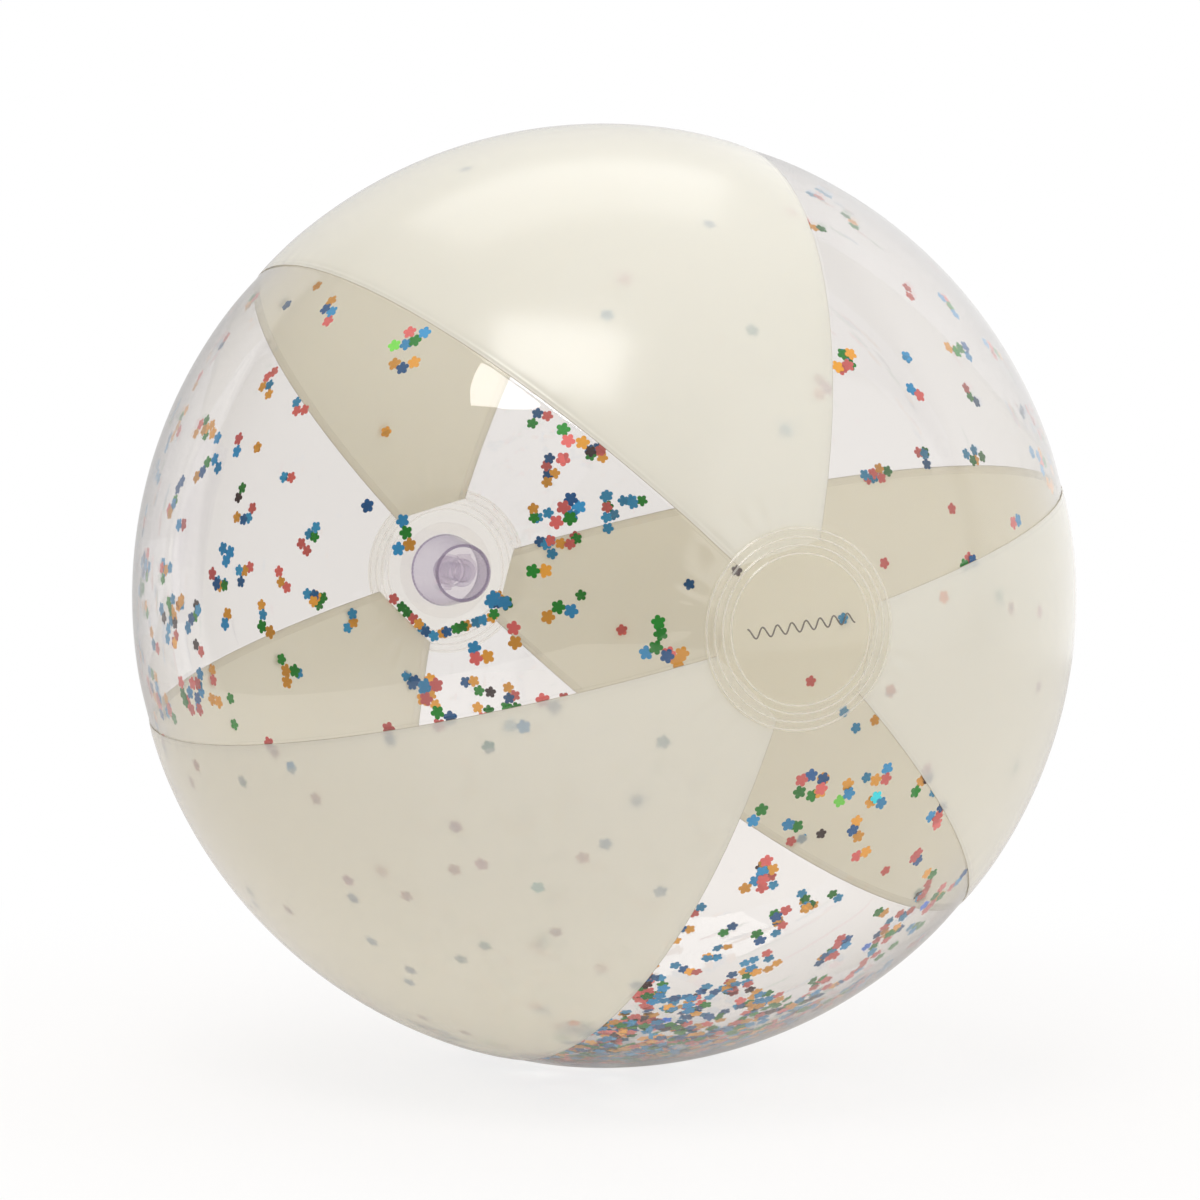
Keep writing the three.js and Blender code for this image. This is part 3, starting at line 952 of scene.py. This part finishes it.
def flower_places(outline, place, normal, spin, curl):
    """Vertices of one flower, top ring then bottom ring, at a place, facing along a normal."""
    normal = normal / np.linalg.norm(normal)
    side = np.cross(normal, (0.0, 0.6, 0.8) if abs(normal[0]) < 0.9 else (0.0, 1.0, 0.0))
    side /= np.linalg.norm(side)
    other = np.cross(normal, side)
    turned = outline @ np.array([[math.cos(spin), math.sin(spin)], [-math.sin(spin), math.cos(spin)]])
    sag = curl * turned[:, 0] ** 2
    flat = place + turned[:, :1] * side + turned[:, 1:] * other
    half = FLOWER_THICKNESS / 2
    return np.concatenate([flat + (half - sag)[:, None] * normal, flat - (half + sag)[:, None] * normal])


def clump(random, polar, turn):
    """Polar angles and turns of a few flowers that stick together, each beside one before it."""
    count = min(1 + random.geometric(0.48), 7)
    spots = [(polar, turn)]
    while len(spots) < count:
        start = spots[random.integers(len(spots))]
        step = random.uniform(3.4, 4.9) * MM / RADIUS
        heading = random.uniform(0, TAU)
        spots.append((
            start[0] + step * math.cos(heading),
            start[1] + step * math.sin(heading) / max(math.sin(start[0]), 0.15),
        ))
    return spots


def near_spot(random, polar, turn, spread):
    """A random polar angle and turn about a middle one, all given in degrees, returned in radians."""
    polar_spot = math.radians(polar + random.normal(0, spread))
    turn_spot = math.radians(turn + random.normal(0, spread) / max(math.sin(math.radians(polar)), 0.15))
    return polar_spot, turn_spot


def cling(random, polar, turn, layer):
    """Place, normal and curl of one flower that lies on the inside of the film."""
    outwards = on_ball(np.float64(polar), np.float64(turn), 1.0)
    normal = outwards + random.normal(0, 0.004, 3)
    if under_cream(polar, turn):
        depth = CREAM_CLING_DEPTH + LAYER_STEP * (layer % CREAM_LAYERS)
    else:
        depth = CLING_DEPTH + LAYER_STEP * (layer % LAYERS)
    return outwards * (RADIUS - depth), normal, 1 / (2 * RADIUS)


def under_cream(polar, turn):
    """True where a flower lies wholly inside a cream gore, clear of its laps and its cut ends."""
    gore = math.floor((FIRST_SEAM - turn) / SECTOR)
    reach = RADIUS * math.sin(polar)
    from_middle = (FIRST_SEAM - turn) - SECTOR * (gore + 0.5)
    edge = reach * (SECTOR / 2 - abs(from_middle))
    return gore % 2 == 0 and edge > LAP + 1.3 * CONFETTI_RADIUS and reach > DISC_RADIUS + CONFETTI_RADIUS


def cling_spot(random):
    """A random polar angle and turn on the wall, likelier the lower it lies and rarer under cream."""
    while True:
        polar = math.acos(random.uniform(-CLING_REACH, CLING_REACH))
        turn = random.uniform(0, TAU)
        lowness = (1 - math.sin(polar) * math.cos(turn)) / 2
        if under_cream(polar, turn):
            lowness *= CREAM_SHARE
        if random.uniform(0, 1) < lowness:
            return polar, turn


def clinging_flowers(random):
    """Place, normal and curl of the flowers that static holds to the inside of the film."""
    flowers = []
    for _ in range(CLING_CLUMPS):
        spots = clump(random, *cling_spot(random))
        if under_cream(*spots[0]):
            spots = spots[:1]
        for polar, turn in spots:
            flowers.append(cling(random, polar, turn, len(flowers)))
    for turn in LEDGE_TURNS:
        within = math.radians(turn + random.normal(0, 2)) - FIRST_SEAM
        polar = math.pi - cut_end(within + SECTOR / 2) * LEDGE_SHARE
        flowers.append(cling(random, polar, within + FIRST_SEAM, len(flowers)))
    return flowers


def loose_flowers(random, clumps=430, spread=14):
    """Place, normal and curl of the flowers that lie in a heap at the lowest point."""
    flowers = []
    for _ in range(clumps):
        for a, b in clump(random, *near_spot(random, *LOWEST, spread)):
            outwards = on_ball(np.float64(a), np.float64(b), 1.0)
            lift = random.uniform(0, 1)
            depth = HEAP_DEPTH + HEAP_THICKNESS * lift
            normal = outwards + random.normal(0, 0.02 + 0.13 * lift, 3)
            flowers.append((outwards * (RADIUS - depth), normal, random.uniform(0, 8)))
    return flowers


def draw_foils(flowers, random):
    """The flowers by foil, each drawn at random."""
    names = list(FOILS)
    shares = np.array([FOILS[name][3] for name in names])
    drawn = random.choice(len(names), size=len(flowers), p=shares / shares.sum())
    return {name: [flower for flower, pick in zip(flowers, drawn) if pick == number]
            for number, name in enumerate(names)}


def make_flowers(kind, by_foil, body, materials, random):
    """One mesh of the flowers of each foil."""
    outline = flower_outline()
    size = len(outline)
    ring = np.arange(size)
    sides = np.stack([ring, ring + size, np.roll(ring, -1) + size, np.roll(ring, -1)], -1)
    pieces = []
    for foil, flowers in by_foil.items():
        if not flowers:
            continue
        vertices, faces = [], []
        for number, (place, normal, curl) in enumerate(flowers):
            first = 2 * size * number
            vertices.append(flower_places(outline, place, normal, random.uniform(0, TAU), curl))
            faces += [(first + ring).tolist(), (first + size + ring[::-1]).tolist()]
            faces += (first + sides).tolist()
        name = f"{kind}_confetti_{foil}"
        data = mesh_data(name, np.concatenate(vertices).tolist(), faces)
        pieces.append(finish_mesh(data, name, body, materials[foil]))
    return pieces


def make_confetti():
    materials = {
        name: confetti_material("foil_" + name, colour, metallic)
        for name, (colour, _, metallic, _) in FOILS.items()
    }
    random = np.random.default_rng(7)
    clinging = draw_foils(clinging_flowers(random), random)
    make_flowers("clinging", clinging, "ball", materials, random)
    heap = draw_foils(loose_flowers(random), random)
    for piece in make_flowers("loose", heap, "loose_confetti", materials, random):
        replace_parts(piece, "confetti_heap")
    for name, node in frame["nodes"].items():
        if name.startswith("confetti_") and name != "confetti_heap":
            node.data.materials.clear()
            node.data.materials.append(materials[name.split("_")[1]])


# Assembly


def round_off(node, name, body, material):
    """A thin moulded piece of the valve, drawn from its CAD node with its edges rounded."""
    source = frame["nodes"][node]
    mesh = bmesh.new()
    mesh.from_mesh(source.data)
    mesh.transform(source.matrix_world)
    bmesh.ops.remove_doubles(mesh, verts=mesh.verts, dist=1e-6)
    bmesh.ops.dissolve_limit(mesh, angle_limit=math.radians(1), verts=mesh.verts, edges=mesh.edges)
    data = bpy.data.meshes.new(name)
    mesh.to_mesh(data)
    mesh.free()
    piece = finish_mesh(data, name, body, material)
    soften(piece, 0.2 * MM)
    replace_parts(piece, node)


make_camera()
make_lights()
make_world()
make_floor()
bpy.context.scene.view_settings.view_transform = "Standard"
bpy.context.scene.cycles.transparent_max_bounces = 32

cream_film = cream_film_material()
clear_film = see_through_material(
    "clear_film", (0.99, 0.987, 0.985), (0.80, 0.78, 0.775), 0.006, (0.92, 0.91, 0.90))
disc_film = see_through_material(
    "disc_film", (0.995, 0.99, 0.975), (0.90, 0.87, 0.80), 0.006, (0.98, 0.96, 0.90), 0.05, welds=True)
flange_film = see_through_material(
    "flange_film", (0.995, 0.99, 0.99), (0.86, 0.84, 0.86), 0.004, (0.92, 0.90, 0.92), 0.05)
valve_vinyl = see_through_material(
    "valve_vinyl", (0.95, 0.93, 0.96), (0.60, 0.54, 0.68), 0.06, (0.80, 0.76, 0.86), 0.08, edge_power=3.0)
bead_vinyl = see_through_material(
    "bead_vinyl", (0.80, 0.76, 0.85), (0.42, 0.36, 0.52), 0.22, (0.56, 0.50, 0.66), 0.12, edge_power=2.0)

make_gores(cream_film, clear_film)
make_seam_shade_lines(seam_shade_line_material())
make_discs(disc_film)
make_ornament(ink_material("printed_ink", (0.22, 0.20, 0.18)))
make_flange(flange_film)
make_cup(valve_vinyl)
make_stem(valve_vinyl)
make_plug(valve_vinyl)
make_beads(bead_vinyl)
round_off("plug_strap", "plug_strap_strip", "plug", valve_vinyl)
round_off("check_flap", "check_flap_leaf", "flap", valve_vinyl)
make_confetti()
